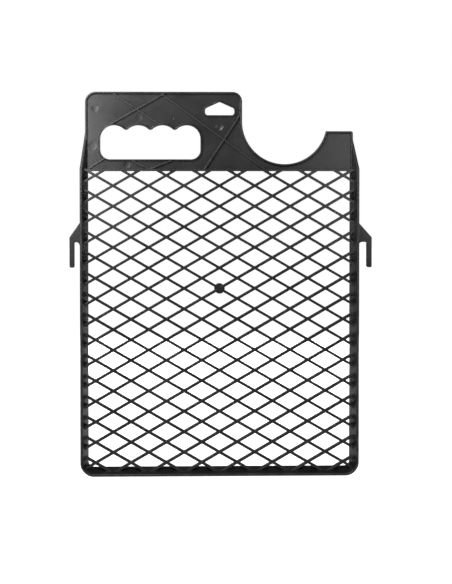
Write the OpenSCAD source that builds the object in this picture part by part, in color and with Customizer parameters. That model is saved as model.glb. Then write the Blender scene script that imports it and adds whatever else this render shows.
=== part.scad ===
// Bucket grid for a paint roller: one black moulded panel, drawn as its structural members.
// X runs across the grid, Z runs up to the handle, and the working face looks along -Y.
// The origin is midway between the two hook seats, in the plane of the flat back.

/* [Frame] */
// Width over the front edges of the two side rails
frame_w = 250; // [200:1:320]
// Height of the handle's top above the hook seats
top_above_seat = 134; // [125:0.5:150]
// Depth of the bottom rail's outer edge below the hook seats
bottom_below_seat = 209.5; // [150:0.5:260]
// Depth of the rails from the back to the front edge
rail_depth = 16; // [12:0.5:24]
// Thickness of the rail walls
rail_wall = 2.4; // [1.8:0.1:4]
// How far the rail walls lean outwards from back to front
rail_flare = 5.6; // [2:0.1:8]
// Radius of the bottom corners at the front edge
corner_r = 12.5; // [10:0.5:25]

/* [Mesh] */
// Half of the distance between crossings along the width
cell_half = 15.84; // [10:0.02:25]
// Angle of the bars from the horizontal
bar_angle = 30.1; // [25:0.1:45]
// Width of a bar
bar_w = 2.4; // [1.5:0.1:4]
// Depth of a bar
bar_depth = 7; // [4:0.5:10]
// Distance from the back to the front of the bars
bar_front = 9.6; // [8:0.2:12]
// Height of the middle crossing below the hook seats
mesh_centre_drop = 41.5; // [30:0.5:60]
// Diameter of the disc where the plastic enters the mould
gate_d = 9.4; // [5:0.1:15]
// How far the disc stays below the front of the bars
gate_drop = 0.6; // [0.2:0.1:2]

/* [Handle panel] */
// Height of the panel's lower edge above the hook seats
panel_bottom = 65.3; // [50:0.5:80]
// Width of the panel across the grip and the wing
panel_w = 239.6; // [200:0.2:245]
// Thickness of the panel
panel_t = 2; // [1.5:0.1:4]
// Depth of the rim that runs round the panel
rim_depth = 5; // [3:0.5:8]
// Thickness of that rim
rim_wall = 2; // [1.2:0.1:3]
// Height of the strip between the panel and the mesh
crossbar_h = 2; // [1.5:0.5:5]
// Radius of the handle's top left corner
top_left_r = 9.4; // [5:0.1:20]
// Radius of the handle's top right corner
top_right_r = 8.5; // [5:0.1:15]
// Height on the left side where the sloping end of the rail dies out
left_slope_top = 103.3; // [90:0.5:120]

/* [Grip opening] */
// Width of the grip opening
grip_w = 89.4; // [80:0.2:92]
// Distance of its middle from the grid's middle
grip_x = -61.5; // [-63:0.1:-60]
// Height of its lower edge above the hook seats
grip_bottom = 73.9; // [72:0.1:76]
// Height of the finger hollows above the hook seats
grip_top = 104.2; // [100:0.1:108]
// Distance between finger hollows
finger_pitch = 21.75; // [20:0.05:22.5]
// Radius of a finger hollow
finger_r = 13.5; // [12:0.1:16]
// Radius of the tips between the hollows
tip_r = 3; // [1.6:0.1:4]
// Radius of the lower corners
grip_corner_r = 8.5; // [5:0.5:12]
// Wall of the raised edge round an opening
lip_wall = 1.4; // [1:0.1:1.5]
// Depth of the raised edge round an opening
lip_depth = 4.4; // [3:0.1:5]

/* [Hang hole] */
// Width of the hang hole
hang_w = 26.2; // [20:0.2:30]
// Distance of its middle from the grid's middle
hang_x = 0.4; // [-2:0.1:2]
// Height of its flat lower edge above the hook seats
hang_bottom = 113.3; // [110:0.1:115]
// Height of its peak above the hook seats
hang_peak = 125; // [122:0.1:128]
// Slope of its roof
hang_slope = 24; // [18:1:28]
// Radius of its corners
hang_r = 2.4; // [1.5:0.1:2.5]

/* [Notch and wing] */
// Radius of the round notch
notch_r = 38.1; // [30:0.1:40]
// Distance of its centre from the grid's middle
notch_x = 58.5; // [56:0.5:62]
// Height of its centre above the hook seats
notch_z = 107.7; // [105:0.1:110]
// Height of the wing's top above the hook seats
wing_top = 99.1; // [90:0.1:105]

/* [Ribs] */
// Width of a stiffening rib
rib_w = 1.3; // [1:0.1:2]
// Distance from the back to the top of a rib
rib_depth = 4.8; // [3:0.1:5]

/* [Rim hooks] */
// Gap between the left rail's front edge and its hook finger
left_gap = 4.3; // [4.1:0.1:8]
// Gap between the right rail's front edge and its hook finger
right_gap = 6.9; // [4.1:0.1:8]
// Width of a hook finger
hook_finger_w = 4.6; // [3:0.2:6]
// Length of a hook finger below the seat
hook_finger_len = 22.7; // [15:0.1:30]
// Height of the hook's outer corner above the seat
hook_shoulder = 4.2; // [3:0.2:6]
// Height where the hook's sloping top meets the rail
hook_top = 17; // [12:0.5:20]
// Distance from the back to the hook's back face
hook_back = 3; // [0:0.5:4]
// Distance from the back to the hook's front face
hook_front = 9; // [6:0.5:10]
// Radius in the hook's slot beside the rail
hook_fillet = 2.8; // [1:0.1:2.8]

/* [Hidden] */
$fn = 96;
plastic = [0.09, 0.09, 0.095];
reach = 500;
slack = 1;

front_out = frame_w / 2;
base_out = front_out - rail_flare;
base_in = base_out - rail_wall;
z_bottom = -bottom_below_seat;
corner_x = front_out - corner_r;
corner_z = z_bottom + corner_r;

cell_rise = cell_half * tan(bar_angle);
hole_half_w = cell_half - bar_w / (2 * sin(bar_angle));
hole_half_h = cell_rise - bar_w / (2 * cos(bar_angle));
bar_back = bar_front - bar_depth;
columns = ceil(front_out / cell_half) + 1;
rows = ceil(bottom_below_seat / cell_rise);
mesh_top = panel_bottom - crossbar_h;

panel_out = panel_w / 2;
panel_in = panel_out - rim_wall;
neck_out = notch_x - notch_r;
neck_in = neck_out - rim_wall;
notch_rim_r = notch_r + rim_wall;
rim_top = top_above_seat - rim_wall;

grip_left = grip_x - grip_w / 2;
grip_right = grip_x + grip_w / 2;
first_finger = grip_x - 1.5 * finger_pitch;
last_finger = grip_x + 1.5 * finger_pitch;
grip_end_r = grip_right - last_finger;
finger_z = grip_top - finger_r;
tip_z = finger_z + sqrt(pow(finger_r + tip_r, 2) - pow(finger_pitch / 2, 2));
tip_angle = atan2(tip_z - finger_z, finger_pitch / 2);

slot_r = 1.2;

// Points of a round stretch, from angle a0 to angle a1
function arc(centre, r, a0, a1, steps = 12) =
    [for (i = [0:steps]) let (a = a0 + (a1 - a0) * i / steps) centre + r * [cos(a), sin(a)]];

// Round stretch that replaces the corner b between the points a and c
function fillet(a, b, c, r, steps = 8) =
    let (
        u = (a - b) / norm(a - b),
        v = (c - b) / norm(c - b),
        half = acos(u * v) / 2,
        centre = b + (u + v) / norm(u + v) * r / sin(half),
        first = b + u * r / tan(half) - centre,
        last = b + v * r / tan(half) - centre,
        a0 = atan2(first[1], first[0]),
        turn = atan2(last[1], last[0]) - a0,
        sweep = turn > 180 ? turn - 360 : turn < -180 ? turn + 360 : turn
    )
    arc(centre, r, a0, a0 + sweep, steps);

// Outline with the corners of a polygon rounded, each to its own radius
function rounded(pts, radii) =
    let (n = len(pts))
    [for (i = [0:n - 1], p = fillet(pts[(i + n - 1) % n], pts[i], pts[(i + 1) % n], radii[i])) p];

// Outline drawn in the XZ plane, filled from one depth to another in front of the back
module slab(back, front) {
    rotate([90, 0, 0])
        translate([0, 0, back])
            linear_extrude(front - back)
                children();
}

// Cross-section of a rail, with the distance from the middle as x and the depth as y
module rail_section() {
    polygon([
        [base_in, 0],
        [base_out, 0],
        [front_out, rail_depth],
        [front_out - rail_wall, rail_depth]
    ]);
}

// A length of the right rail's wall from one height to another
module rail_wall_between(z0, z1) {
    translate([0, 0, z0])
        mirror([0, 1, 0])
            linear_extrude(z1 - z0)
                rail_section();
}

module left_rail() {
    color(plastic)
        mirror([1, 0, 0])
            rail_wall_between(corner_z, panel_bottom);
}

module right_rail() {
    color(plastic)
        rail_wall_between(corner_z, panel_bottom);
}

module bottom_rail() {
    color(plastic)
        translate([-corner_x, 0, z_bottom + front_out])
            rotate([0, 90, 0])
                rail_wall_between(0, 2 * corner_x);
}

// Quarter turn of the rail's wall round the bottom right corner
module rail_corner() {
    translate([corner_x, 0, corner_z])
        rotate([90, 0, 0])
            rotate([0, 0, -90])
                rotate_extrude(angle = 90)
                    translate([-corner_x, 0])
                        rail_section();
}

module bottom_left_corner() {
    color(plastic)
        mirror([1, 0, 0])
            rail_corner();
}

module bottom_right_corner() {
    color(plastic)
        rail_corner();
}

// End of the right rail's wall, which slopes back from full depth to nothing at z_end
module rail_ramp(z_end) {
    difference() {
        rail_wall_between(panel_bottom, z_end);
        translate([base_in - slack, 0, 0])
            rotate([90, 0, 90])
                linear_extrude(front_out)
                    polygon([
                        [slack, z_end],
                        [0, z_end],
                        [-rail_depth, panel_bottom],
                        [-rail_depth - slack, panel_bottom],
                        [-rail_depth - slack, z_end + slack],
                        [slack, z_end + slack]
                    ]);
        translate([0, -rim_depth, panel_bottom - slack])
            cube([panel_out, rim_depth + slack, z_end - panel_bottom + 2 * slack]);
    }
}

module left_rail_ramp() {
    color(plastic)
        mirror([1, 0, 0])
            rail_ramp(left_slope_top);
}

module right_rail_ramp() {
    color(plastic)
        rail_ramp(wing_top - rim_wall);
}

// The room between the two side rails, from one height to another
module between_rails(z0, z1) {
    translate([0, 0, z0])
        mirror([0, 1, 0])
            linear_extrude(z1 - z0)
                polygon([
                    [-base_in, 0],
                    [base_in, 0],
                    [front_out - rail_wall, rail_depth],
                    [rail_wall - front_out, rail_depth]
                ]);
}

// The room inside the rails and the bottom corners, below the crossbar
module mesh_room() {
    between_rails(corner_z, mesh_top);
    translate([-corner_x, 0, 0])
        rotate([90, 0, 90])
            linear_extrude(2 * corner_x)
                polygon([
                    [0, corner_z],
                    [0, z_bottom + front_out - base_in],
                    [-rail_depth, z_bottom + rail_wall],
                    [-rail_depth, corner_z]
                ]);
    for (side = [-1, 1])
        translate([side * corner_x, 0, corner_z])
            rotate([90, 0, 0])
                cylinder(h = rail_depth, r1 = base_in - corner_x, r2 = corner_r - rail_wall);
}

module crossbar() {
    color(plastic)
        intersection() {
            between_rails(mesh_top, panel_bottom);
            slab(0, bar_front)
                square(2 * front_out, center = true);
        }
}

// One opening of the mesh
module cell() {
    polygon([[-hole_half_w, 0], [0, -hole_half_h], [hole_half_w, 0], [0, hole_half_h]]);
}

module mesh() {
    color(plastic)
        difference() {
            intersection() {
                mesh_room();
                slab(bar_back, bar_front)
                    difference() {
                        square(reach * 2, center = true);
                        for (column = [-columns:columns], row = [-rows:rows])
                            if ((column + row) % 2 != 0)
                                translate([column * cell_half, row * cell_rise - mesh_centre_drop])
                                    cell();
                    }
            }
            gate();
        }
}

module gate() {
    translate([0, 0, -mesh_centre_drop])
        rotate([90, 0, 0])
            translate([0, 0, bar_back])
                cylinder(h = bar_depth - gate_drop, d = gate_d);
}

module gate_disc() {
    color(plastic)
        gate();
}

// Outline of the grip opening, made larger all round by grow
module grip_outline(grow = 0) {
    corner = grip_corner_r + grow;
    finger = finger_r + grow;
    tip = tip_r - grow;
    end = grip_end_r + grow;
    lower_z = grip_bottom + grip_corner_r;
    end_z = grip_top - grip_end_r;
    polygon(concat(
        arc([grip_left + grip_corner_r, lower_z], corner, 180, 270),
        arc([grip_right - grip_corner_r, lower_z], corner, 270, 360),
        arc([last_finger, end_z], end, 0, 90),
        [for (k = [0:2], p = concat(
            arc([last_finger - k * finger_pitch, finger_z], finger, 90, 180 - tip_angle),
            arc([last_finger - (k + 0.5) * finger_pitch, tip_z], tip, 360 - tip_angle, 180 + tip_angle, 6),
            arc([last_finger - (k + 1) * finger_pitch, finger_z], finger, tip_angle, 90)
        )) p],
        arc([first_finger, end_z], end, 90, 180)
    ));
}

// Outline of the hang hole, made larger all round by grow
module hang_outline(grow = 0) {
    half = hang_w / 2 + grow;
    peak = hang_peak + grow / cos(hang_slope);
    shoulder = peak - half * tan(hang_slope);
    low = hang_bottom - grow;
    r = hang_r + grow;
    translate([hang_x, 0])
        polygon(rounded(
            [[-half, low], [half, low], [half, shoulder], [0, peak], [-half, shoulder]],
            [r, r, r, r, r]
        ));
}

module notch_disc(r) {
    translate([notch_x, notch_z])
        circle(r);
}

// The panel inside its rims, before the two openings are cut
module panel_outline() {
    difference() {
        union() {
            polygon(concat(
                [[-panel_in, panel_bottom], [neck_in, panel_bottom]],
                arc([neck_out - top_right_r, top_above_seat - top_right_r], top_right_r - rim_wall, 0, 90),
                arc([top_left_r - panel_out, top_above_seat - top_left_r], top_left_r - rim_wall, 90, 180)
            ));
            translate([neck_in, panel_bottom])
                square([notch_x - neck_in, notch_z - panel_bottom]);
            translate([notch_x, panel_bottom])
                square([panel_in - notch_x, wing_top - rim_wall - panel_bottom]);
        }
        notch_disc(notch_rim_r);
    }
}

module handle_plate() {
    color(plastic)
        slab(0, panel_t)
            difference() {
                panel_outline();
                grip_outline(lip_wall);
                hang_outline(lip_wall);
            }
}

module left_rim() {
    color(plastic)
        slab(0, rim_depth)
            translate([-panel_out, panel_bottom])
                square([rim_wall, top_above_seat - top_left_r - panel_bottom]);
}

// Quarter ring of the panel's rim, turned so that it starts at the given angle
module rim_corner(x, z, r, start) {
    translate([x, 0, z])
        rotate([90, 0, 0])
            rotate([0, 0, start])
                rotate_extrude(angle = 90)
                    translate([r - rim_wall, 0])
                        square([rim_wall, rim_depth]);
}

module top_left_rim_corner() {
    color(plastic)
        rim_corner(top_left_r - panel_out, top_above_seat - top_left_r, top_left_r, 90);
}

module top_rim() {
    color(plastic)
        slab(0, rim_depth)
            translate([top_left_r - panel_out, rim_top])
                square([panel_out - top_left_r + neck_out - top_right_r, rim_wall]);
}

module top_right_rim_corner() {
    color(plastic)
        rim_corner(neck_out - top_right_r, top_above_seat - top_right_r, top_right_r, 0);
}

module neck_rim() {
    color(plastic)
        slab(0, rim_depth)
            translate([neck_in, notch_z])
                square([rim_wall, top_above_seat - top_right_r - notch_z]);
}

module notch_rim() {
    color(plastic)
        slab(0, rim_depth)
            difference() {
                notch_disc(notch_rim_r);
                notch_disc(notch_r);
                translate([neck_in - slack, notch_z])
                    square(2 * notch_rim_r + slack);
                translate([notch_x, wing_top])
                    square(notch_rim_r + slack);
            }
}

module wing_top_rim() {
    color(plastic)
        slab(0, rim_depth)
            difference() {
                union() {
                    translate([notch_x, wing_top - rim_wall])
                        square([panel_in - notch_x, rim_wall]);
                    intersection() {
                        translate([panel_in, wing_top - rim_wall])
                            circle(rim_wall);
                        translate([panel_in, wing_top - rim_wall])
                            square(rim_wall);
                    }
                }
                notch_disc(notch_rim_r);
            }
}

module wing_side_rim() {
    color(plastic)
        slab(0, rim_depth)
            translate([panel_in, panel_bottom])
                square([rim_wall, wing_top - rim_wall - panel_bottom]);
}

module grip_lip() {
    color(plastic)
        slab(0, lip_depth)
            difference() {
                grip_outline(lip_wall);
                grip_outline();
            }
}

module hang_hole_lip() {
    color(plastic)
        slab(0, lip_depth)
            difference() {
                hang_outline(lip_wall);
                hang_outline();
            }
}

// Strip of rib width between two points on the panel, run on past both by extra
module strip(from, to, extra = 0) {
    run = to - from;
    translate(from)
        rotate(atan2(run[1], run[0]))
            translate([-extra, -rib_w / 2])
                square([norm(run) + 2 * extra, rib_w]);
}

// Rib on the panel, cut off at the rims, at the openings' lips and at the ribs named as children
module rib(from, to) {
    color(plastic)
        slab(panel_t, rib_depth)
            difference() {
                intersection() {
                    panel_outline();
                    strip(from, to, 2);
                }
                grip_outline(lip_wall);
                hang_outline(lip_wall);
                children();
            }
}

// End points of the ribs
top_meeting = [-51.2, 132];
left_diagonal_end = [-94.6, 106.4];
left_brace = [[-92.7, 132], [-55.6, 106.4]];
long_diagonal_end = [38.5, 65.6];
long_brace = [[18.4, 112], [-11.6, 66.4]];
below_left = [[-104.3, 73.4], [-115.8, 65.5]];
below_middle = [[-75.8, 72.2], [-65, 65.5]];
below_right = [[-45.5, 72.4], [-59.6, 65.5]];

module rib_left_diagonal() {
    rib(top_meeting, left_diagonal_end);
}

module rib_left_brace() {
    rib(left_brace[0], left_brace[1])
        strip(top_meeting, left_diagonal_end, 2);
}

module rib_long_diagonal() {
    rib(top_meeting, long_diagonal_end)
        strip(top_meeting, left_diagonal_end, 2);
}

module rib_long_brace() {
    rib(long_brace[0], long_brace[1])
        strip(top_meeting, long_diagonal_end, 2);
}

module rib_below_grip_left() {
    rib(below_left[0], below_left[1]);
}

module rib_below_grip_middle() {
    rib(below_middle[0], below_middle[1]);
}

module rib_below_grip_right() {
    rib(below_right[0], below_right[1]);
}

// Hook on the right rail: a sloping root, a slot that opens downwards and a finger outside it
module hook(gap) {
    root = corner_x;
    finger_in = front_out + gap;
    finger_out = finger_in + hook_finger_w;
    difference() {
        slab(hook_back, hook_front)
            polygon(concat(
                [[root, -hook_fillet], [front_out, -hook_fillet]],
                arc([front_out + hook_fillet, -hook_fillet], hook_fillet, 180, 90, 8),
                arc([finger_in - slot_r, -slot_r], slot_r, 90, 0, 6),
                arc([finger_in + 1, 1 - hook_finger_len], 1, 180, 270, 6),
                arc([finger_out - 1, 1 - hook_finger_len], 1, 270, 360, 6),
                fillet([finger_out, 0], [finger_out, hook_shoulder], [front_out, hook_top], 1.2),
                [[front_out, hook_top], [root, hook_top]]
            ));
        translate([0, 0, -reach / 2])
            mirror([0, 1, 0])
                linear_extrude(reach)
                    polygon([
                        [0, -slack],
                        [base_out - slack * rail_flare / rail_depth, -slack],
                        [front_out, rail_depth],
                        [0, rail_depth]
                    ]);
    }
}

module left_hook() {
    color(plastic)
        mirror([1, 0, 0])
            hook(left_gap);
}

module right_hook() {
    color(plastic)
        hook(right_gap);
}

left_rail();
right_rail();
bottom_rail();
bottom_left_corner();
bottom_right_corner();
left_rail_ramp();
right_rail_ramp();
crossbar();
mesh();
gate_disc();
handle_plate();
left_rim();
top_left_rim_corner();
top_rim();
top_right_rim_corner();
neck_rim();
notch_rim();
wing_top_rim();
wing_side_rim();
grip_lip();
hang_hole_lip();
rib_left_diagonal();
rib_left_brace();
rib_long_diagonal();
rib_long_brace();
rib_below_grip_left();
rib_below_grip_middle();
rib_below_grip_right();
left_hook();
right_hook();
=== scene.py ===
"""Bucket grid for a paint roller: detailed meshes, moulded plastic and a studio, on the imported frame."""
from math import acos, asin, atan2, cos, degrees, hypot, pi, radians, sin, sqrt, tan

import bmesh
import bpy
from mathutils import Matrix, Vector
from mathutils.geometry import delaunay_2d_cdt


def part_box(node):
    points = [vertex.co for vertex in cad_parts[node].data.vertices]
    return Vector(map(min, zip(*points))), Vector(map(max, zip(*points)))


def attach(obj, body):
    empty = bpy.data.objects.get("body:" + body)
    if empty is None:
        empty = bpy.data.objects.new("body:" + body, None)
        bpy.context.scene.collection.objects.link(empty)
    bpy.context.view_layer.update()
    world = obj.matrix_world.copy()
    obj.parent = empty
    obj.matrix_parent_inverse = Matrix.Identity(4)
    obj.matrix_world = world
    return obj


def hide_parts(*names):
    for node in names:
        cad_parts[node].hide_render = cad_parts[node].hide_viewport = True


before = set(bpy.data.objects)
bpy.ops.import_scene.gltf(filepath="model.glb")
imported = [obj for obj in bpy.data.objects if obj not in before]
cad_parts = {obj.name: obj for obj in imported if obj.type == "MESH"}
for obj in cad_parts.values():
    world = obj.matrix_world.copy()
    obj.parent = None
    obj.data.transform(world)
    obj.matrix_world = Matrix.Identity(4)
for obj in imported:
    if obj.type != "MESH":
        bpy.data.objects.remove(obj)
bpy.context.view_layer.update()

MM = 0.001
SLOT = "moulded_plastic"

# Places and sizes read from the frame. Depth is counted from the flat back towards the working face.
rail_lo, rail_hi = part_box("right_rail")
corner_lo, corner_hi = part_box("bottom_right_corner")
bar_lo, bar_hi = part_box("crossbar")
mesh_lo, mesh_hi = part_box("mesh")
gate_lo, gate_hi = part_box("gate_disc")
plate_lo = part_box("handle_plate")[0]
left_rim_lo, left_rim_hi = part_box("left_rim")
top_rim_lo, top_rim_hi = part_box("top_rim")
neck_lo, neck_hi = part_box("neck_rim")
wing_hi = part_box("wing_top_rim")[1]
grip_lo, grip_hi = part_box("grip_lip")
hang_lo, hang_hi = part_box("hang_hole_lip")
rib_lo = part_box("rib_long_diagonal")[0]

RAIL_DEPTH = -rail_lo.y
FRONT_OUT = rail_hi.x
BASE_IN = rail_lo.x
PANEL_BOTTOM = rail_hi.z
CORNER_R = corner_hi.x - corner_lo.x
CORNER_X = corner_lo.x
CORNER_Z = corner_hi.z
BOTTOM = corner_lo.z
CROSSBAR_LOW = bar_lo.z
CROSSBAR_FRONT = -bar_lo.y
LEAN = (bar_hi.x - BASE_IN) / CROSSBAR_FRONT
RAIL_WALL = FRONT_OUT - BASE_IN - LEAN * RAIL_DEPTH
RAMP_END = (-left_rim_lo.x - BASE_IN - RAIL_WALL) / LEAN
BAR_BACK = -mesh_hi.y
BAR_FRONT = -mesh_lo.y
BAR_END_GAP = FRONT_OUT - BASE_IN - LEAN * BAR_FRONT
GATE_R = (gate_hi.x - gate_lo.x) / 2
GATE_Z = (gate_hi.z + gate_lo.z) / 2
GATE_FRONT = -gate_lo.y
PLATE_T = -plate_lo.y
RIM_DEPTH = -left_rim_lo.y
RIM_WALL = left_rim_hi.x - left_rim_lo.x
PANEL_OUT = -left_rim_lo.x
TOP = top_rim_hi.z
TOP_LEFT_R = top_rim_lo.x + PANEL_OUT
NECK_X = neck_hi.x
TOP_RIGHT_R = NECK_X - top_rim_hi.x
NOTCH_Z = neck_lo.z
WING_TOP = wing_hi.z
LIP_DEPTH = -grip_lo.y
RIB_DEPTH = -rib_lo.y

# Sizes that the boxes can't tell
NOTCH_R = 38.1 * MM
NOTCH_X = NECK_X + NOTCH_R
CELL_HALF = 15.84 * MM
BAR_ANGLE = radians(30.1)
BAR_W = 2.4 * MM
LIP_WALL = 1.4 * MM
RIB_W = 1.1 * MM
FINGER_PITCH = 21.75 * MM
FINGER_R = 13.5 * MM
TIP_R = 3.0 * MM
GRIP_CORNER_R = 8.5 * MM
HANG_SLOPE = radians(24)
HANG_R = 2.4 * MM
FINGER_W = 4.6 * MM
HOOK_FILLET = 2.8 * MM
SLOT_R = 1.2 * MM
HOOK_SHOULDER = 4.2 * MM

# Small roundings of the moulding
RAIL_EDGE = 0.8 * MM
RIM_EDGE = 0.7 * MM
LIP_EDGE = 0.25 * MM
RIB_EDGE = 0.1 * MM
BACK_EDGE = 0.3 * MM
BAR_EDGE = 0.3 * MM
HOOK_EDGE = 0.5 * MM
HOOK_TIP_R = 1.4 * MM
SHOULDER_R = 1.2 * MM
CELL_CORNER = 0.35 * MM
COVE = 0.3 * MM

# Draft: how much a rim's inner wall leans, and how much a bar narrows towards its front
RIM_DRAFT = 0.1
BAR_DRAFT = 0.1 * MM

# A hair's breadth, which keeps two faces from lying in one plane
HAIR = 0.05 * MM

# How far one member reaches into another, so that no gap shows between them
SUNK = 0.1 * MM
RIB_REACH = 0.7 * MM
HOOK_REACH = 0.2 * MM
MESH_REACH = 1.0 * MM
CELL_REACH = 0.04 * MM

# How far the mesh ends below the panel inside the crossbar, and how much lower each next rib is
MESH_TOP_GAP = 0.4 * MM
RIB_STEP = 0.03 * MM

# The left rim beside the rail's sloping end: what is left of it, and the length over which it sinks
LOW_RIM = 0.5 * MM
RIM_FALL = 3.0 * MM

# Openings cut off by the walls: corners closer than the first merge, areas under the second stay solid
SHORTEST_SIDE = 0.3 * MM
SMALLEST_CELL = 4.0 * MM * MM

# Round marks of the ejector pins on the panel, in mm: x, height, radius, depth of the dish
PIN_MARKS = [
    (0.0, 103.0, 3.6, 0.62),
    (-41.5, 110.9, 1.2, 0.35),
    (-113.3, 86.0, 4.2, 0.16),
    (-111.1, 119.1, 3.4, 0.14),
    (-71.9, 111.3, 3.4, 0.14),
    (-82.7, 69.0, 3.4, 0.2),
    (-66.0, 122.5, 1.0, 0.12),
]
DISH_SHARES = (1.0, 0.93, 0.82, 0.66, 0.48, 0.3, 0.12)

# Gate disc, in mm: (cut, drop) of its rounded edge and (radius, height) of the broken-off stub
GATE_EDGE = [(0.0, 0.4), (0.15, 0.12), (0.5, 0.0)]
GATE_STUB = [(1.25, 0.0), (1.15, 0.25), (0.9, 0.4), (0.4, 0.3)]

# Fineness of the meshes
MERGE = 0.002 * MM
SHARP_ANGLE = radians(38)
CORNER_STEPS = 16
RAMP_STEPS = 8
NOTCH_STEPS = 48

# Plastic: colours of the clean skin and of the pale skin for wear and painted sheen, and how far the ribs
# are painted pale, from 0 to 1: a painted highlight on their crests
CLEAN = (0.008, 0.008, 0.0078, 1)
WORN_AND_SHEEN = (0.04, 0.04, 0.039, 1)
RIB_SHEEN = 0.4

# Studio: brightness of the floor and the room, and the lamps with place, target, size and brightness
FLOOR_LIFT = 0.95
SKY_POWER = 0.5
ROOM_GLOW = 0.05
LAMPS = [
    ("key", (-0.30, -0.72, 0.54), (-0.05, 0, 0.05), (0.34, 0.34), 12.5),
    ("left_glow", (-0.20, -0.26, 0.153), (-0.20, 0, 0.153), (0.10, 0.194), 17.0),
    ("right_glow", (0.20, -0.34, 0.10), (0.20, 0, 0.10), (0.16, 0.16), 3.0),
    ("right_side", (1.7, 0.4, 0.5), (0, 0, 0), (1.0, 1.0), 5.0),
    ("left_side", (-1.7, 0.4, 0.5), (0, 0, 0), (1.0, 1.0), 4.0),
]
BACK_LAMP = ("back_light", (0.2, 1.8, 0.6), (0, 0, 0), (1.2, 1.2), 8.0)


# ---- outlines: points are (x, z) or (across, depth) pairs ----

def arc(cx, cy, r, a0, a1, steps=8):
    """Points of a round stretch, with the angles in degrees."""
    turn = [radians(a0 + (a1 - a0) * i / steps) for i in range(steps + 1)]
    return [(cx + r * cos(a), cy + r * sin(a)) for a in turn]


def corner_arc(a, b, c, r):
    """Centre, radius and end angles of the round stretch that replaces corner b between a and c."""
    u, v = Vector(a) - Vector(b), Vector(c) - Vector(b)
    longest = min(u.length, v.length) / 2
    u.normalize()
    v.normalize()
    half = acos(max(-1.0, min(1.0, u.dot(v)))) / 2
    r = min(r, 0.95 * longest * tan(half))
    centre = Vector(b) + (u + v).normalized() * r / sin(half)
    first = Vector(b) + u * r / tan(half) - centre
    last = Vector(b) + v * r / tan(half) - centre
    a0 = degrees(atan2(first.y, first.x))
    sweep = (degrees(atan2(last.y, last.x)) - a0 + 180) % 360 - 180
    return centre.x, centre.y, r, a0, a0 + sweep


def rounded(points, radii, steps=4):
    """Closed outline with each corner of a polygon rounded to its own radius."""
    n = len(points)
    outline = []
    for i, point in enumerate(points):
        cx, cy, r, a0, a1 = corner_arc(points[i - 1], point, points[(i + 1) % n], radii[i])
        outline += arc(cx, cy, r, a0, a1, steps)
    return outline


def inset(outline, amount):
    """A closed outline, counter-clockwise, moved inwards by a small amount."""
    n = len(outline)
    moved = []
    for i in range(n):
        before = Vector(outline[i]) - Vector(outline[i - 1])
        after = Vector(outline[(i + 1) % n]) - Vector(outline[i])
        n0 = Vector((-before.y, before.x)).normalized()
        n1 = Vector((-after.y, after.x)).normalized()
        mid = (n0 + n1).normalized()
        step = mid * amount / max(0.4, mid.dot(n0))
        moved.append((outline[i][0] + step.x, outline[i][1] + step.y))
    return moved


def grip_outline(grow=0.0):
    """Outline of the grip opening, made larger all round by grow."""
    left, right = grip_lo.x + LIP_WALL, grip_hi.x - LIP_WALL
    low, top = grip_lo.z + LIP_WALL, grip_hi.z - LIP_WALL
    last_finger = (left + right) / 2 + 1.5 * FINGER_PITCH
    end_r = right - last_finger
    finger_z = top - FINGER_R
    tip_z = finger_z + sqrt((FINGER_R + TIP_R) ** 2 - (FINGER_PITCH / 2) ** 2)
    tip = degrees(atan2(tip_z - finger_z, FINGER_PITCH / 2))
    corner, end, finger = GRIP_CORNER_R + grow, end_r + grow, FINGER_R + grow
    outline = arc(left + GRIP_CORNER_R, low + GRIP_CORNER_R, corner, 180, 270)
    outline += arc(right - GRIP_CORNER_R, low + GRIP_CORNER_R, corner, 270, 360)
    outline += arc(last_finger, top - end_r, end, 0, 90, 10)
    for k in range(3):
        x = last_finger - k * FINGER_PITCH
        outline += arc(x, finger_z, finger, 90, 180 - tip, 7)[1:]
        outline += arc(x - FINGER_PITCH / 2, tip_z, TIP_R - grow, 360 - tip, 180 + tip, 8)[1:]
        outline += arc(x - FINGER_PITCH, finger_z, finger, tip, 90, 7)[1:]
    return outline + arc(left + end_r, top - end_r, end, 90, 180, 10)[1:]


def hang_outline(grow=0.0):
    """Outline of the hang hole, made larger all round by grow."""
    half = (hang_hi.x - hang_lo.x) / 2 - LIP_WALL + grow
    middle = (hang_hi.x + hang_lo.x) / 2
    low = hang_lo.z + LIP_WALL - grow
    rounding = (HANG_R + LIP_WALL) * (1 / cos(HANG_SLOPE) - 1)
    peak = hang_hi.z + rounding - (LIP_WALL - grow) / cos(HANG_SLOPE)
    shoulder = peak - half * tan(HANG_SLOPE)
    left, right = middle - half, middle + half
    house = [(left, low), (right, low), (right, shoulder), (middle, peak), (left, shoulder)]
    return rounded(house, [HANG_R + grow] * 5, 6)


# ---- meshes ----

def placed(points, depth):
    """Outline points in the row frame at one depth in front of the back."""
    return [Vector((x, -depth, z)) for x, z in points]


def piece(name, build, material=None):
    """A closed mesh made by build(bm), which stands for the CAD node of the same name."""
    bm = bmesh.new()
    build(bm)
    bmesh.ops.remove_doubles(bm, verts=bm.verts, dist=MERGE)
    bmesh.ops.dissolve_degenerate(bm, edges=bm.edges, dist=MERGE)
    bmesh.ops.recalc_face_normals(bm, faces=bm.faces)
    mesh = bpy.data.meshes.new(name)
    bm.to_mesh(mesh)
    bm.free()
    mesh.shade_smooth()
    mesh.set_sharp_from_angle(angle=SHARP_ANGLE)
    obj = bpy.data.objects.new(name, mesh)
    bpy.context.scene.collection.objects.link(obj)
    weighted = obj.modifiers.new("weighted_normals", "WEIGHTED_NORMAL")
    weighted.keep_sharp = True
    mesh.materials.append(material or plastic)
    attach(obj, "root")
    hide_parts(name)
    return obj


def add_ring(bm, points):
    return [bm.verts.new(p) for p in points]


def bridge(bm, first, second):
    """Quads between two rings with the same number of points."""
    n = len(first)
    for i in range(n):
        j = (i + 1) % n
        bm.faces.new((first[i], first[j], second[j], second[i]))


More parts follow.
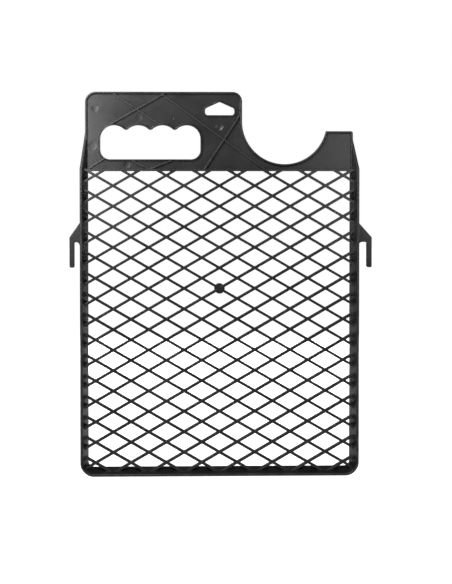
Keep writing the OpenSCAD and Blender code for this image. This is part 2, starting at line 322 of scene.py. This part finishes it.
def sweep(bm, rings, closed=False):
    """Skin over rings of points, capped at both ends unless the rings close on themselves."""
    made = [add_ring(bm, r) for r in rings]
    for a, b in zip(made, made[1:]):
        bridge(bm, a, b)
    if closed:
        bridge(bm, made[-1], made[0])
    else:
        bm.faces.new(made[0])
        bm.faces.new(made[-1])


def fill(bm, outer, holes, depth):
    """Flat face at one depth inside the outer ring of vertices and outside the rings of holes."""
    rings = [outer] + holes
    verts = [v for ring in rings for v in ring]
    points = [Vector((v.co.x, v.co.z)) for v in verts]
    loops, start = [], 0
    for ring in rings:
        loops.append(list(range(start, start + len(ring))))
        start += len(ring)
    _, _, faces, origin, _, _ = delaunay_2d_cdt(points, [], loops, 2, 0.001 * MM)
    for face in faces:
        corners = [verts[origin[i][0]] for i in face]
        if len(set(corners)) == len(corners) > 2:
            bm.faces.new(corners)


def edge_levels(back, front, back_r, front_r, steps=3):
    """(cut, depth) pairs up the side of a slab whose front and back edges are rounded."""
    levels = []
    for i in range(steps + 1):
        a = pi / 2 * i / steps
        levels.append((back_r * (1 - sin(a)), back + back_r * (1 - cos(a))))
    for i in range(steps + 1):
        a = pi / 2 * i / steps
        levels.append((front_r * (1 - cos(a)), front - front_r * (1 - sin(a))))
    return levels


def slab(bm, outline, back, front, back_r, front_r):
    """Solid of one outline between two depths, with rounded front and back edges."""
    rings = []
    for cut, depth in edge_levels(back, front, back_r, front_r):
        rings.append(placed(inset(outline, cut), depth))
    made = [add_ring(bm, r) for r in rings]
    for a, b in zip(made, made[1:]):
        bridge(bm, a, b)
    fill(bm, made[0], [], back)
    fill(bm, made[-1], [], front)


# ---- plastic ----

class Skin:
    """A material and short ways to add nodes to it. Places are those of the object, in the row frame."""

    def __init__(self, name):
        self.material = bpy.data.materials.new(name)
        self.material.use_nodes = True
        tree = self.material.node_tree
        self.nodes, self.links = tree.nodes, tree.links
        self.shader = self.nodes["Principled BSDF"]
        self.where = self.nodes.new("ShaderNodeTexCoord").outputs["Object"]

    def stretched(self, angle, scale):
        """Places turned about the depth axis and squeezed, for marks that run one way."""
        node = self.nodes.new("ShaderNodeMapping")
        node.inputs["Rotation"].default_value = (0, angle, 0)
        node.inputs["Scale"].default_value = scale
        self.links.new(self.where, node.inputs["Vector"])
        return node.outputs["Vector"]

    def noise(self, scale, detail, roughness=0.5, vector=None):
        """Noise that repeats about scale times in a metre."""
        node = self.nodes.new("ShaderNodeTexNoise")
        node.inputs["Scale"].default_value = scale
        node.inputs["Detail"].default_value = detail
        node.inputs["Roughness"].default_value = roughness
        self.links.new(vector or self.where, node.inputs["Vector"])
        return node.outputs["Fac"]

    def ramp(self, value, low, high, out_low, out_high):
        """A value moved from the range low..high into out_low..out_high, and kept inside it."""
        node = self.nodes.new("ShaderNodeMapRange")
        node.clamp = True
        for socket, number in zip(node.inputs[1:5], (low, high, out_low, out_high)):
            socket.default_value = number
        self.links.new(value, node.inputs["Value"])
        return node.outputs["Result"]

    def math(self, operation, a, b):
        """Sum, product or larger of two values, each of them a number or another node's output."""
        node = self.nodes.new("ShaderNodeMath")
        node.operation = operation
        for socket, value in zip(node.inputs, (a, b)):
            if isinstance(value, (int, float)):
                socket.default_value = value
            else:
                self.links.new(value, socket)
        return node.outputs["Value"]

    def bump(self, height, strength, distance):
        """Node that turns a height into a tilt of the surface."""
        node = self.nodes.new("ShaderNodeBump")
        node.inputs["Strength"].default_value = strength
        node.inputs["Distance"].default_value = distance
        self.links.new(height, node.inputs["Height"])
        return node


def wear_and_sheen_mask(skin, painted_sheen):
    """Where the skin is pale, from 0 to 1: worn scratches, scuffed front edges, and an even painted sheen
    all over, which is a painted highlight.
    """
    slanted = skin.stretched(radians(38), (1, 1, 14))
    scratches = skin.ramp(skin.noise(160, 3, 0.6, slanted), 0.66, 0.78, 0, 1)
    axes = skin.nodes.new("ShaderNodeSeparateXYZ")
    skin.links.new(skin.where, axes.inputs["Vector"])
    edge = skin.ramp(axes.outputs["Y"], -RAIL_DEPTH + RAIL_EDGE, -RAIL_DEPTH, 0, 1)
    scuff = skin.math("MULTIPLY", edge, skin.ramp(skin.noise(220, 3), 0.42, 0.6, 0.25, 1))
    faint, strong = skin.math("MULTIPLY", scratches, 0.35), skin.math("MULTIPLY", scuff, 0.6)
    return skin.math("MAXIMUM", skin.math("MAXIMUM", faint, strong), painted_sheen)


def plastic_material(name, painted_sheen):
    """Satin black polypropylene: fine grain, slow ripple of the skin, cloudy gloss, wear, and a painted
    sheen that makes the whole surface paler where it is asked for.
    """
    skin = Skin(name)
    shader, links = skin.shader, skin.links
    cloud = skin.noise(28, 4, 0.55)
    wear_and_sheen = wear_and_sheen_mask(skin, painted_sheen)

    tone = skin.nodes.new("ShaderNodeMix")
    tone.data_type = "RGBA"
    tone.inputs["A"].default_value = CLEAN
    tone.inputs["B"].default_value = WORN_AND_SHEEN
    mottle = skin.math("MULTIPLY", skin.ramp(cloud, 0.35, 0.7, 0, 1), 0.25)
    links.new(skin.math("MAXIMUM", mottle, wear_and_sheen), tone.inputs["Factor"])
    links.new(tone.outputs["Result"], shader.inputs["Base Color"])

    gloss = skin.math("ADD", skin.ramp(cloud, 0.3, 0.7, 0.3, 0.38), skin.math("MULTIPLY", wear_and_sheen, 0.12))
    links.new(gloss, shader.inputs["Roughness"])
    shader.inputs["IOR"].default_value = 1.5

    ripple = skin.bump(skin.noise(45, 2), 0.5, 0.25 * MM)
    grain = skin.bump(skin.noise(1800, 2), 0.35, 0.04 * MM)
    links.new(ripple.outputs["Normal"], grain.inputs["Normal"])
    links.new(grain.outputs["Normal"], shader.inputs["Normal"])
    return skin.material


plastic = plastic_material(SLOT, 0.0)
# The ribs' plastic is painted paler all over: a painted highlight for the light that their crests catch.
rib_sheen_plastic = plastic_material("rib_plastic_painted_sheen", RIB_SHEEN)


# ---- rails ----

def rail_section(height=RAIL_DEPTH, back=0.0):
    """(distance from the middle, depth) outline of a rail wall that is cut off at one height."""
    inner, outer = BASE_IN + LEAN * back, BASE_IN + RAIL_WALL + LEAN * back
    top_in, top_out = BASE_IN + LEAN * height, BASE_IN + RAIL_WALL + LEAN * height
    edge = min(RAIL_EDGE, 0.4 * (height - back))
    foot = min(BACK_EDGE, 0.4 * (height - back))
    points = [(inner, back), (outer, back), (top_out, height), (top_in, height)]
    return rounded(points, [foot, foot, edge, edge])


def side_rail(side):
    def build(bm):
        section = rail_section()
        sweep(bm, [[Vector((side * x, -d, z)) for x, d in section] for z in (CORNER_Z, PANEL_BOTTOM)])
    return build


def bottom_rail(bm):
    drop = BOTTOM + FRONT_OUT
    section = rail_section()
    sweep(bm, [[Vector((x, -d, drop - out)) for out, d in section] for x in (-CORNER_X, CORNER_X)])


def bottom_corner(side):
    def build(bm):
        rings = []
        for i in range(CORNER_STEPS + 1):
            a = pi / 2 * i / CORNER_STEPS
            ring = [(x - CORNER_X, d) for x, d in rail_section()]
            rings.append([Vector((side * (CORNER_X + r * cos(a)), -d, CORNER_Z - r * sin(a)))
                          for r, d in ring])
        sweep(bm, rings)
    return build


def ramp_level(node, height):
    """Where a rail's sloping end has come down to a height above the back."""
    lo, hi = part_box(node)
    return lo.z + (hi.z - lo.z) * (RAIL_DEPTH - height) / (RAIL_DEPTH - RAMP_END)


def rail_ramp(side, node):
    """The end of a side rail, which slopes back until it dies into the panel's rim."""
    def build(bm):
        rings = []
        for i in range(RAMP_STEPS + 1):
            height = RAIL_DEPTH + (RAMP_END - RAIL_DEPTH) * i / RAMP_STEPS
            z = ramp_level(node, height)
            rings.append([Vector((side * x, -d, z)) for x, d in rail_section(height, HAIR)])
        sweep(bm, rings)
    return build


def make_rails():
    piece("left_rail", side_rail(-1))
    piece("right_rail", side_rail(1))
    piece("bottom_rail", bottom_rail)
    piece("bottom_left_corner", bottom_corner(-1))
    piece("bottom_right_corner", bottom_corner(1))
    piece("left_rail_ramp", rail_ramp(-1, "left_rail_ramp"))
    piece("right_rail_ramp", rail_ramp(1, "right_rail_ramp"))


# ---- mesh ----

def crossbar(bm):
    """Strip between the mesh and the panel, whose ends lie inside the rail walls."""
    low, high, front = CROSSBAR_LOW, PANEL_BOTTOM, CROSSBAR_FRONT
    section = rounded([(low, 0), (low, front), (high, front), (high, 0)],
                      [BACK_EDGE, BAR_EDGE, BAR_EDGE, BACK_EDGE / 3])
    rings = []
    for side in (-1, 1):
        rings.append([Vector((side * (BASE_IN + RAIL_WALL / 2 + LEAN * d), -d, z)) for z, d in section])
    sweep(bm, rings)


def clip(polygon, fence):
    """The part of a convex polygon inside a convex fence, both counter-clockwise."""
    for i, start in enumerate(fence):
        end = fence[(i + 1) % len(fence)]
        ex, ey = end[0] - start[0], end[1] - start[1]

        def side(p):
            return ex * (p[1] - start[1]) - ey * (p[0] - start[0])

        kept = []
        for j, p in enumerate(polygon):
            q = polygon[(j + 1) % len(polygon)]
            sp, sq = side(p), side(q)
            if sp >= 0:
                kept.append(p)
            if sp * sq < 0:
                t = sp / (sp - sq)
                kept.append((p[0] + (q[0] - p[0]) * t, p[1] + (q[1] - p[1]) * t))
        polygon = kept
        if len(polygon) < 3:
            return []
    return polygon


def tidy_polygon(polygon, shortest):
    """A polygon without corners that lie closer together than shortest."""
    kept = []
    for p in polygon:
        if not kept or hypot(p[0] - kept[-1][0], p[1] - kept[-1][1]) > shortest:
            kept.append(p)
    if len(kept) > 1 and hypot(kept[0][0] - kept[-1][0], kept[0][1] - kept[-1][1]) <= shortest:
        kept.pop()
    return kept


def area(polygon):
    pairs = zip(polygon, polygon[1:] + polygon[:1])
    return sum(a[0] * b[1] - b[0] * a[1] for a, b in pairs) / 2


def mesh_fence(gap, top):
    """Outline inside the rails by gap from their front edge, up to a height."""
    r = CORNER_R - gap
    left, right = FRONT_OUT - gap, -FRONT_OUT + gap
    outline = arc(-CORNER_X, CORNER_Z, r, 180, 270, 6)
    outline += arc(CORNER_X, CORNER_Z, r, 270, 360, 6)
    return outline + [(left, top), (right, top)]


def cell_openings():
    """The diamond openings, cut off at the walls, as lists of corner arcs."""
    rise = CELL_HALF * tan(BAR_ANGLE)
    half_w = CELL_HALF - BAR_W / (2 * sin(BAR_ANGLE))
    half_h = rise - BAR_W / (2 * cos(BAR_ANGLE))
    fence = mesh_fence(BAR_END_GAP - CELL_REACH, CROSSBAR_LOW + CELL_REACH)
    columns = int(FRONT_OUT / CELL_HALF) + 2
    rows = int((PANEL_BOTTOM - BOTTOM) / rise) + 2
    openings = []
    for column in range(-columns, columns + 1):
        for row in range(-rows, rows + 1):
            if (column + row) % 2 == 0:
                continue
            x, z = column * CELL_HALF, GATE_Z + row * rise
            diamond = [(x - half_w, z), (x, z - half_h), (x + half_w, z), (x, z + half_h)]
            kept = tidy_polygon(clip(diamond, fence), SHORTEST_SIDE)
            if len(kept) < 3 or area(kept) < SMALLEST_CELL:
                continue
            n = len(kept)
            openings.append([corner_arc(kept[i - 1], kept[i], kept[(i + 1) % n], CELL_CORNER)
                             for i in range(n)])
    return openings


def mesh_grid(bm):
    """Bars with rounded fronts, a slight draft and filleted crossings."""
    outer = mesh_fence(BAR_END_GAP - MESH_REACH, PANEL_BOTTOM - MESH_TOP_GAP)
    backs = add_ring(bm, placed(outer, BAR_BACK))
    front = BAR_FRONT - HAIR
    fronts = add_ring(bm, placed(outer, front))
    bridge(bm, backs, fronts)
    levels = [(BACK_EDGE, BAR_BACK), (BACK_EDGE * 0.3, BAR_BACK + BACK_EDGE * 0.3)]
    levels += [(0.0, BAR_BACK + BACK_EDGE)]
    for i in range(5):
        a = pi / 2 * i / 4
        levels.append((BAR_DRAFT + BAR_EDGE * (1 - cos(a)), front - BAR_EDGE * (1 - sin(a))))
    back_holes, front_holes = [], []
    for corners in cell_openings():
        rings = []
        for grow, depth in levels:
            outline = []
            for cx, cy, r, a0, a1 in corners:
                outline += arc(cx, cy, r + grow, a0, a1, 4)
            rings.append(add_ring(bm, placed(outline, depth)))
        for a, b in zip(rings, rings[1:]):
            bridge(bm, a, b)
        back_holes.append(rings[0])
        front_holes.append(rings[-1])
    fill(bm, backs, back_holes, BAR_BACK)
    fill(bm, fronts, front_holes, front)


def gate_disc(bm):
    """Disc in the middle of the mesh with the small stub where the runner broke off."""
    profile = [(0.6 * GATE_R, BAR_BACK), (GATE_R - BACK_EDGE, BAR_BACK), (GATE_R, BAR_BACK + BACK_EDGE)]
    profile += [(GATE_R - cut * MM, GATE_FRONT - drop * MM) for cut, drop in GATE_EDGE]
    profile += [(r * MM, GATE_FRONT + height * MM) for r, height in GATE_STUB]
    rings = []
    for r, depth in profile:
        rings.append([Vector((r * cos(a), -depth, GATE_Z + r * sin(a)))
                      for a in (2 * pi * i / 40 for i in range(40))])
    sweep(bm, rings)


def make_mesh():
    piece("crossbar", crossbar)
    piece("mesh", mesh_grid)
    piece("gate_disc", gate_disc)


# ---- handle panel ----

def rim_section(depth=RIM_DEPTH, wall=RIM_WALL, edge=RIM_EDGE):
    """(distance in from the outside, depth) outline of a rim, with a cove down to the panel."""
    crest = wall - RIM_DRAFT * (depth - PLATE_T)
    outside = corner_arc((crest, depth), (0, depth), (0, 0), edge)
    inside = corner_arc((wall, PLATE_T), (crest, depth), (0, depth), edge)
    section = [(0.0, 0.0), (wall, 0.0), (wall, PLATE_T - SUNK), (wall + COVE, PLATE_T - SUNK)]
    section += arc(wall + COVE, PLATE_T + COVE, COVE, 270, 180, 4)
    section += arc(*inside, 4) + arc(*outside, 4)
    return section


def straight_rim(a, b, inwards):
    """Rim along the straight line from a to b, with the panel on the side named by inwards."""
    def build(bm):
        rings = []
        for x, z in (a, b):
            rings.append([Vector((x + u * inwards[0], -d, z + u * inwards[1]))
                          for u, d in rim_section()])
        sweep(bm, rings)
    return build


def left_rim(bm):
    """Left rim, which sinks to the panel where the rail's sloping end rises above it."""
    covered = ramp_level("left_rail_ramp", RIM_DEPTH)
    low = PLATE_T + LOW_RIM
    levels = [(PANEL_BOTTOM, low), (covered - RIM_FALL, low), (covered, RIM_DEPTH)]
    levels.append((TOP - TOP_LEFT_R, RIM_DEPTH))
    sweep(bm, [[Vector((u - PANEL_OUT, -d, z)) for u, d in rim_section(depth)] for z, depth in levels])


def round_rim(cx, cz, r, a0, a1, outwards=1, steps=12):
    """Rim round an arc. The panel is on the inside of the arc, or on its outside if outwards is -1."""
    def build(bm):
        rings = []
        for i in range(steps + 1):
            a = radians(a0 + (a1 - a0) * i / steps)
            ring = []
            for u, d in rim_section():
                s = max(0.0, r - outwards * u)
                ring.append(Vector((cx + s * cos(a), -d, cz + s * sin(a))))
            rings.append(ring)
        sweep(bm, rings)
    return build


def notch_rim(bm):
    """Rim round the notch, mitred into the rim on top of the wing."""
    rings = []
    for i in range(NOTCH_STEPS + 1):
        ring = []
        for u, d in rim_section():
            r = NOTCH_R + u
            end = 360 + degrees(asin((WING_TOP - u - NOTCH_Z) / r))
            a = radians(180 + (end - 180) * i / NOTCH_STEPS)
            ring.append(Vector((NOTCH_X + r * cos(a), -d, NOTCH_Z + r * sin(a))))
        rings.append(ring)
    sweep(bm, rings)


def wing_top_rim(bm):
    """Rim on top of the wing, with its rounded outer corner."""
    corner_x = PANEL_OUT - RIM_WALL
    corner_z = WING_TOP - RIM_WALL
    start = []
    for u, d in rim_section():
        z = WING_TOP - u
        start.append(Vector((NOTCH_X + sqrt((NOTCH_R + u) ** 2 - (z - NOTCH_Z) ** 2), -d, z)))
    rings = [start]
    for i in range(9):
        a = pi / 2 * (1 - i / 8)
        ring = []
        for u, d in rim_section():
            s, over = max(0.0, RIM_WALL - u), max(0.0, u - RIM_WALL)
            ring.append(Vector((corner_x - over + s * cos(a), -d, corner_z - over + s * sin(a))))
        rings.append(ring)
    sweep(bm, rings)


def opening_lip(outline):
    """Raised edge round an opening in the panel."""
    def build(bm):
        section = rim_section(LIP_DEPTH, LIP_WALL, LIP_EDGE)
        rings = [placed(outline(u), d) for u, d in section]
        sweep(bm, rings, closed=True)
    return build


def panel_outline():
    """Outline of the panel inside its rims."""
    reach = NOTCH_R + RIM_WALL
    left, top = -PANEL_OUT + RIM_WALL, TOP - RIM_WALL
    right, wing = PANEL_OUT - RIM_WALL, WING_TOP - RIM_WALL
    end = 360 + degrees(asin((wing - NOTCH_Z) / reach))
    outline = [(left, PANEL_BOTTOM), (right, PANEL_BOTTOM), (right, wing)]
    outline += arc(NOTCH_X, NOTCH_Z, reach, end, 180, NOTCH_STEPS)
    outline += arc(NECK_X - TOP_RIGHT_R, TOP - TOP_RIGHT_R, TOP_RIGHT_R - RIM_WALL, 0, 90)
    outline += arc(TOP_LEFT_R - PANEL_OUT, TOP - TOP_LEFT_R, TOP_LEFT_R - RIM_WALL, 90, 180)
    return outline


def pin_mark(bm, x, z, r, dish):
    """Shallow bowl that an ejector pin left in the panel's face. Returns its outer ring."""
    rings = []
    for share in DISH_SHARES:
        ring = arc(x * MM, z * MM, r * share * MM, 0, 360, 28)[:-1]
        rings.append(add_ring(bm, placed(ring, PLATE_T - dish * (1 - share ** 2) * MM)))
    for a, b in zip(rings, rings[1:]):
        bridge(bm, a, b)
    bm.faces.new(rings[-1])
    return rings[0]


def handle_plate(bm):
    """The panel's web, with the two openings and the dished marks of the ejector pins."""
    outlines = [panel_outline(), grip_outline(LIP_WALL), hang_outline(LIP_WALL)]
    backs = [add_ring(bm, placed(o, 0)) for o in outlines]
    fronts = [add_ring(bm, placed(o, PLATE_T)) for o in outlines]
    for a, b in zip(backs, fronts):
        bridge(bm, a, b)
    marks = [pin_mark(bm, *mark) for mark in PIN_MARKS]
    fill(bm, backs[0], backs[1:], 0)
    fill(bm, fronts[0], fronts[1:] + marks, PLATE_T)


def rib_section(lower):
    """(across, depth) outline of a rib that stands on the panel, lower than full depth by lower."""
    top = RIB_DEPTH - lower
    half = RIB_W / 2
    foot = half + 0.5 * COVE
    edge = corner_arc((-half, PLATE_T), (-half, top), (half, top), RIB_EDGE)
    other = corner_arc((-half, top), (half, top), (half, PLATE_T), RIB_EDGE)
    section = [(-foot, PLATE_T - SUNK), (-foot, PLATE_T)]
    section += arc(-foot, PLATE_T + foot - half, foot - half, 270, 360, 4)[1:]
    section += arc(*edge, 4) + arc(*other, 4)
    section += arc(foot, PLATE_T + foot - half, foot - half, 180, 270, 4)
    return section + [(foot, PLATE_T - SUNK)]


def rib(node, slope, lower):
    """Stiffening rib along the diagonal of its CAD node's box, rising to the right if slope is 1."""
    lo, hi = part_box(node)
    a = Vector((lo.x, lo.z if slope > 0 else hi.z))
    b = Vector((hi.x, hi.z if slope > 0 else lo.z))
    run = (b - a).normalized()
    a, b = a - run * RIB_REACH, b + run * RIB_REACH
    across = Vector((-run.y, run.x))
    section = rib_section(lower)

    def build(bm):
        rings = []
        for end in (a, b):
            rings.append([Vector((end.x + across.x * s, -d, end.y + across.y * s)) for s, d in section])
        sweep(bm, rings)
    return build


def make_rims():
    left_x, right_x = TOP_LEFT_R - PANEL_OUT, NECK_X - TOP_RIGHT_R
    wing_corner = WING_TOP - RIM_WALL
    piece("left_rim", left_rim)
    piece("top_left_rim_corner", round_rim(left_x, TOP - TOP_LEFT_R, TOP_LEFT_R, 180, 90))
    piece("top_rim", straight_rim((left_x, TOP), (right_x, TOP), (0, -1)))
    piece("top_right_rim_corner", round_rim(right_x, TOP - TOP_RIGHT_R, TOP_RIGHT_R, 90, 0))
    piece("neck_rim", straight_rim((NECK_X, TOP - TOP_RIGHT_R), (NECK_X, NOTCH_Z), (-1, 0)))
    piece("notch_rim", notch_rim)
    piece("wing_top_rim", wing_top_rim)
    piece("wing_side_rim", straight_rim((PANEL_OUT, wing_corner), (PANEL_OUT, PANEL_BOTTOM), (-1, 0)))
    piece("grip_lip", opening_lip(grip_outline))
    piece("hang_hole_lip", opening_lip(hang_outline))


def make_ribs():
    """Ribs rise to the right if their number is 1. Each is a hair lower, so that crossings don't tie."""
    ribs = [
        ("rib_left_diagonal", 1), ("rib_left_brace", -1), ("rib_long_diagonal", -1),
        ("rib_long_brace", 1), ("rib_below_grip_left", 1), ("rib_below_grip_middle", -1),
        ("rib_below_grip_right", 1),
    ]
    for i, (node, slope) in enumerate(ribs):
        # Ribs take the plastic with the painted sheen, a painted highlight on their crests.
        piece(node, rib(node, slope, RIB_STEP * i), rib_sheen_plastic)


def make_panel():
    piece("handle_plate", handle_plate)
    make_rims()
    make_ribs()


# ---- hooks ----

def hook(node, side):
    """Rim hook: a sloping root, a slot that opens downwards and a finger outside it."""
    lo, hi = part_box(node)
    back, front = -hi.y, -lo.y
    root = BASE_IN + RAIL_WALL + LEAN * back - HOOK_REACH
    finger_out = max(hi.x, -lo.x)
    finger_in = finger_out - FINGER_W
    tip, top = lo.z, hi.z
    outline = [(root, -HOOK_FILLET), (FRONT_OUT, -HOOK_FILLET)]
    outline += arc(FRONT_OUT + HOOK_FILLET, -HOOK_FILLET, HOOK_FILLET, 180, 90)[1:]
    outline += arc(finger_in - SLOT_R, -SLOT_R, SLOT_R, 90, 0, 6)
    outline += arc(finger_in + HOOK_TIP_R, tip + HOOK_TIP_R, HOOK_TIP_R, 180, 270, 6)
    outline += arc(finger_out - HOOK_TIP_R, tip + HOOK_TIP_R, HOOK_TIP_R, 270, 360, 6)
    shoulder = corner_arc((finger_out, 0), (finger_out, HOOK_SHOULDER), (FRONT_OUT, top), SHOULDER_R)
    outline += arc(*shoulder, 5)
    outline += [(FRONT_OUT, top), (root, top)]

    def build(bm):
        slab(bm, outline, back, front, BACK_EDGE, HOOK_EDGE)
        for v in bm.verts:
            v.co.x *= side
    return build


def make_hooks():
    piece("left_hook", hook("left_hook", -1))
    piece("right_hook", hook("right_hook", 1))


# ---- studio ----

def floor_material():
    """Pale matt floor, with a lift for the camera so that it stays pale to the horizon."""
    mat = bpy.data.materials.new("floor")
    mat.use_nodes = True
    nodes, links = mat.node_tree.nodes, mat.node_tree.links
    shader = nodes["Principled BSDF"]
    shader.inputs["Base Color"].default_value = (0.6, 0.6, 0.6, 1)
    shader.inputs["Roughness"].default_value = 0.9
    shader.inputs["Specular IOR Level"].default_value = 0.1
    shader.inputs["Emission Color"].default_value = (1, 1, 1, 1)
    lift = nodes.new("ShaderNodeMath")
    lift.operation = "MULTIPLY"
    lift.inputs[1].default_value = FLOOR_LIFT
    links.new(nodes.new("ShaderNodeLightPath").outputs["Is Camera Ray"], lift.inputs[0])
    links.new(lift.outputs["Value"], shader.inputs["Emission Strength"])
    return mat


def make_floor():
    """Large floor that the grid stands on."""
    mesh = bpy.data.meshes.new("floor")
    half = 8.0
    corners = [(-half, -half), (half, -half), (half, half), (-half, half)]
    mesh.from_pydata([(x, y, BOTTOM) for x, y in corners], [], [(0, 1, 2, 3)])
    mesh.materials.append(floor_material())
    floor = bpy.data.objects.new("floor", mesh)
    bpy.context.scene.collection.objects.link(floor)


def aimed(obj, place, target):
    obj.location = place
    obj.rotation_euler = (Vector(target) - Vector(place)).to_track_quat("-Z", "Y").to_euler()
    bpy.context.scene.collection.objects.link(obj)


def softbox(name, place, target, size, glow):
    """Rectangular lamp of a given brightness, which the camera doesn't see."""
    data = bpy.data.lights.new(name, "AREA")
    data.shape = "RECTANGLE"
    data.size, data.size_y = size
    data.energy = glow * pi * size[0] * size[1]
    light = bpy.data.objects.new(name, data)
    light.visible_camera = False
    aimed(light, place, target)
    return light


def skylight():
    """Wide, soft light from above, which lights the floor more than the upright grid."""
    data = bpy.data.lights.new("skylight", "SUN")
    data.energy = SKY_POWER
    data.angle = radians(50)
    aimed(bpy.data.objects.new("skylight", data), (-0.4, -0.5, 2.0), (0, 0, 0))


def make_world():
    """White surround for the camera and a dimmer one for the light on the object."""
    world = bpy.data.worlds.new("studio")
    world.use_nodes = True
    nodes, links = world.node_tree.nodes, world.node_tree.links
    nodes.clear()
    mix = nodes.new("ShaderNodeMixShader")
    for slot, strength in ((1, ROOM_GLOW), (2, 1.0)):
        node = nodes.new("ShaderNodeBackground")
        node.inputs["Color"].default_value = (1, 1, 1, 1)
        node.inputs["Strength"].default_value = strength
        links.new(node.outputs["Background"], mix.inputs[slot])
    links.new(nodes.new("ShaderNodeLightPath").outputs["Is Camera Ray"], mix.inputs["Fac"])
    out = nodes.new("ShaderNodeOutputWorld")
    links.new(mix.outputs["Shader"], out.inputs["Surface"])
    bpy.context.scene.world = world


def make_camera():
    """Camera nearly square to the working face, a little to its left."""
    distance, frame_height = 2.25, 520.5 * MM
    turn, tilt = radians(2.7), radians(2.5)
    target = Vector((5.4 * MM, -RAIL_DEPTH, -44.3 * MM))
    back = Vector((-sin(turn) * cos(tilt), -cos(turn) * cos(tilt), sin(tilt)))
    data = bpy.data.cameras.new("camera")
    data.sensor_width = 36
    data.lens = data.sensor_width * distance / frame_height
    camera = bpy.data.objects.new("camera", data)
    camera.location = target + back * distance
    camera.rotation_euler = (-back).to_track_quat("-Z", "Y").to_euler()
    bpy.context.scene.collection.objects.link(camera)
    bpy.context.scene.camera = camera


def make_studio():
    make_floor()
    make_world()
    skylight()
    for lamp in LAMPS:
        softbox(*lamp)
    back = softbox(*BACK_LAMP)
    back.visible_glossy = False
    make_camera()
    bpy.context.scene.view_settings.view_transform = "Standard"


make_rails()
make_mesh()
make_panel()
make_hooks()
make_studio()
